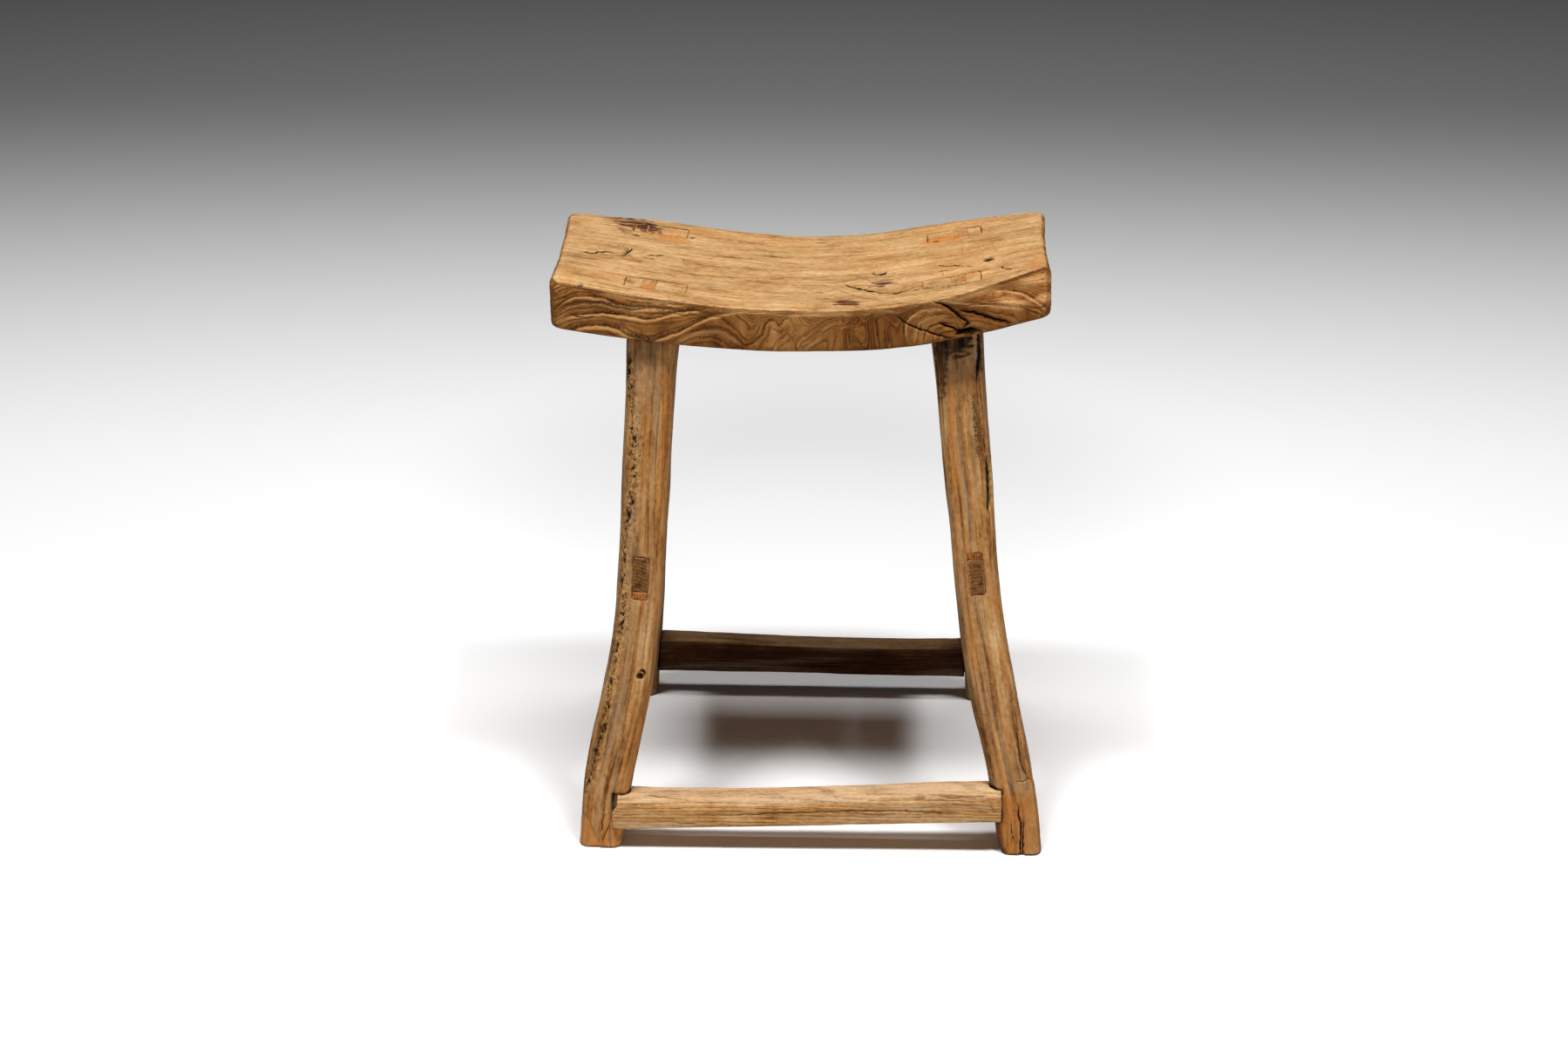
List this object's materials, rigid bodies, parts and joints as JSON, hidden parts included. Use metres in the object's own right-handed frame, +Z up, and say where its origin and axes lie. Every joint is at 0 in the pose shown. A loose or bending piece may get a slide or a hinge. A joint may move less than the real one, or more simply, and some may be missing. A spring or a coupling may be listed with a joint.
{
  "type": "saddle stool",
  "caption": "Rustic elm stool: a bent, dished plank seat on splayed legs, joined by wedged through tenons and low and mid-height stretchers.",
  "frame": {"origin": "on the floor, under the middle of the stool's overall size", "axes": "X along the seat from left to right, Y from its front edge to its back edge, Z up"},
  "size_m": [0.4368, 0.3355, 0.5176],
  "materials": {
    "seat_elm": "worn, honey-tan old elm, dry and waxed by use, with raised grain, checks and dark stains",
    "leg_elm": "weathered brown elm with insect channels, grey streaks and bare orange feet",
    "stretcher_elm": "rubbed tan-brown elm with lengthwise checks",
    "wedge_wood": "dark orange hardwood end grain, rubbed flush"
  },
  "bodies": {
    "root": {"seat": "seat_elm", "leg_front_left": "leg_elm", "leg_front_right": "leg_elm", "leg_rear_left": "leg_elm", "leg_rear_right": "leg_elm", "stretcher_front": "stretcher_elm", "stretcher_rear": "stretcher_elm", "stretcher_left": "stretcher_elm", "stretcher_right": "stretcher_elm", "seat_wedge_front_left": "wedge_wood", "seat_wedge_front_right": "wedge_wood", "seat_wedge_rear_left": "wedge_wood", "seat_wedge_rear_right": "wedge_wood", "side_wedge_front_left": "wedge_wood", "side_wedge_front_right": "wedge_wood", "side_wedge_rear_left": "wedge_wood", "side_wedge_rear_right": "wedge_wood"}
  },
  "joints": []
}
